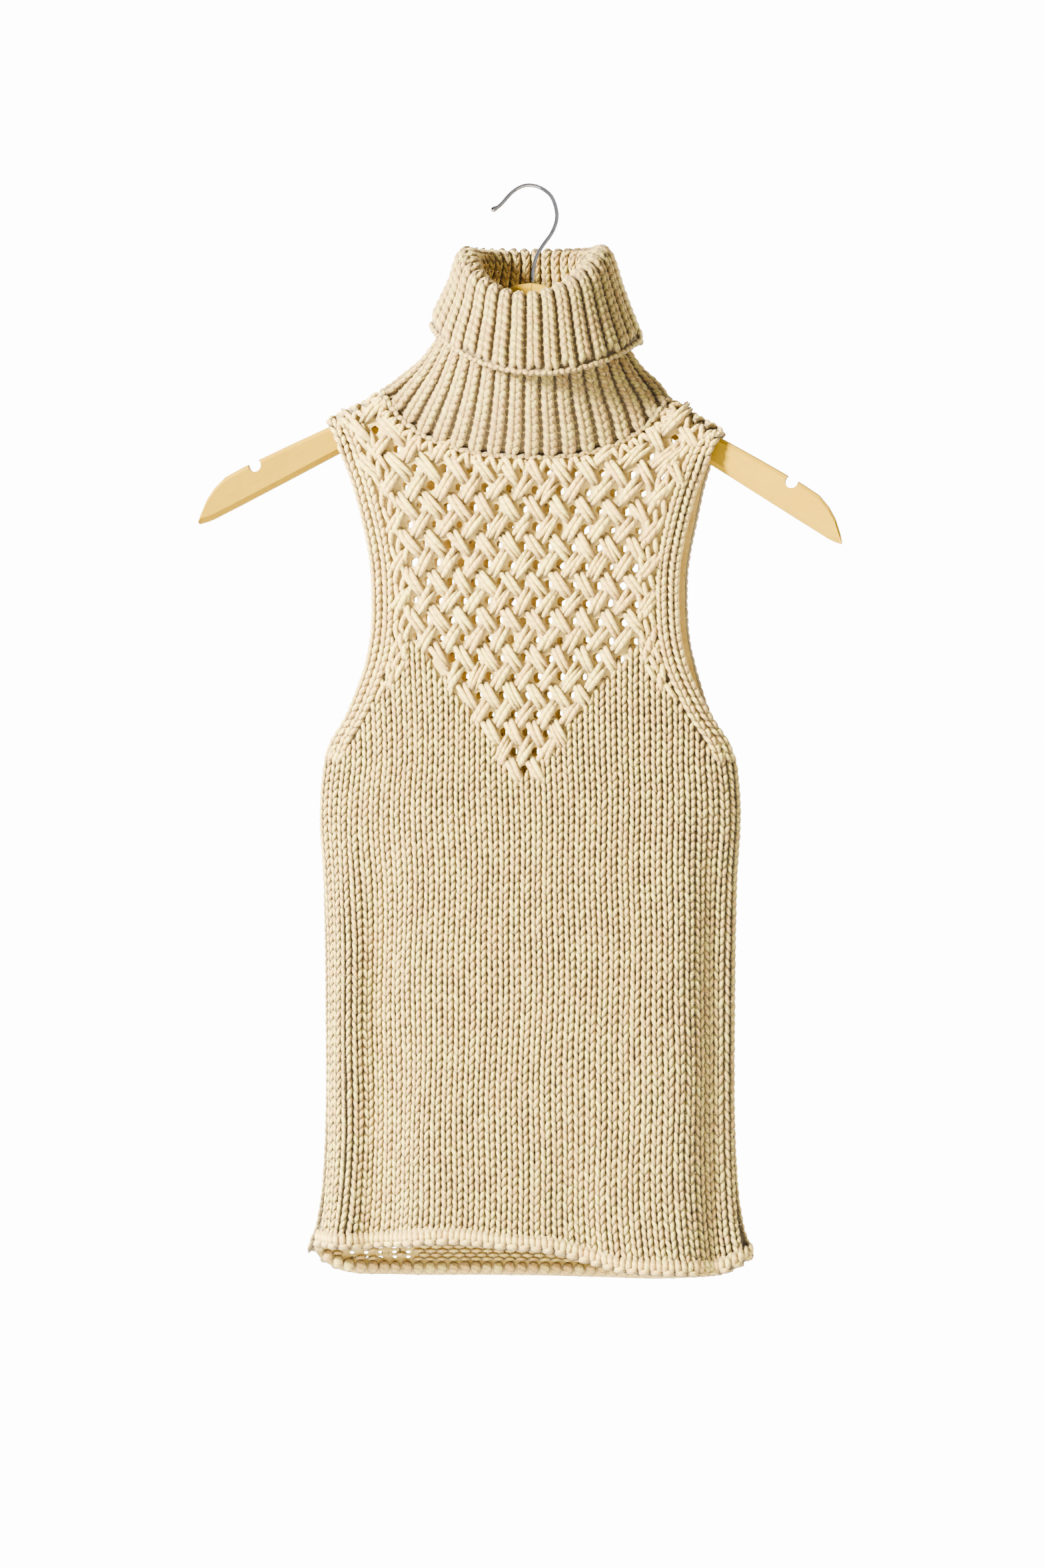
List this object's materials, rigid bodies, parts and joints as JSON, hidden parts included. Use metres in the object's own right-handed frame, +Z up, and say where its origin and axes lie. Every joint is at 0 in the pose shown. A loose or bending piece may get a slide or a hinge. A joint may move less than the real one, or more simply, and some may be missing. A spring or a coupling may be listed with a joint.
{
  "type": "turtleneck sweater on a hanger",
  "caption": "Sleeveless chunky-knit turtleneck sweater with a woven lattice yoke, hung on a contoured wooden hanger with a wire hook.",
  "frame": {"origin": "inner top of the hanger's hook, where the rail that holds it touches", "axes": "+Z up, the sweater's front faces -Y, its left armhole as seen from the front lies towards -X"},
  "size_m": [0.4488, 0.1266, 0.7672],
  "materials": {
    "yarn": "chunky oatmeal yarn with a fine gold thread",
    "rib_yarn": "the same yarn in a deep rib",
    "varnished_wood": "clear varnished pale wood",
    "chrome_wire": "bright plated wire"
  },
  "bodies": {
    "root": {"front_panel": "yarn", "back_panel": "yarn", "turtleneck_stand": "rib_yarn", "turtleneck_fold": "rib_yarn", "hanger_left": "varnished_wood", "hanger_right": "varnished_wood", "hanger_hook": "chrome_wire"}
  },
  "joints": []
}
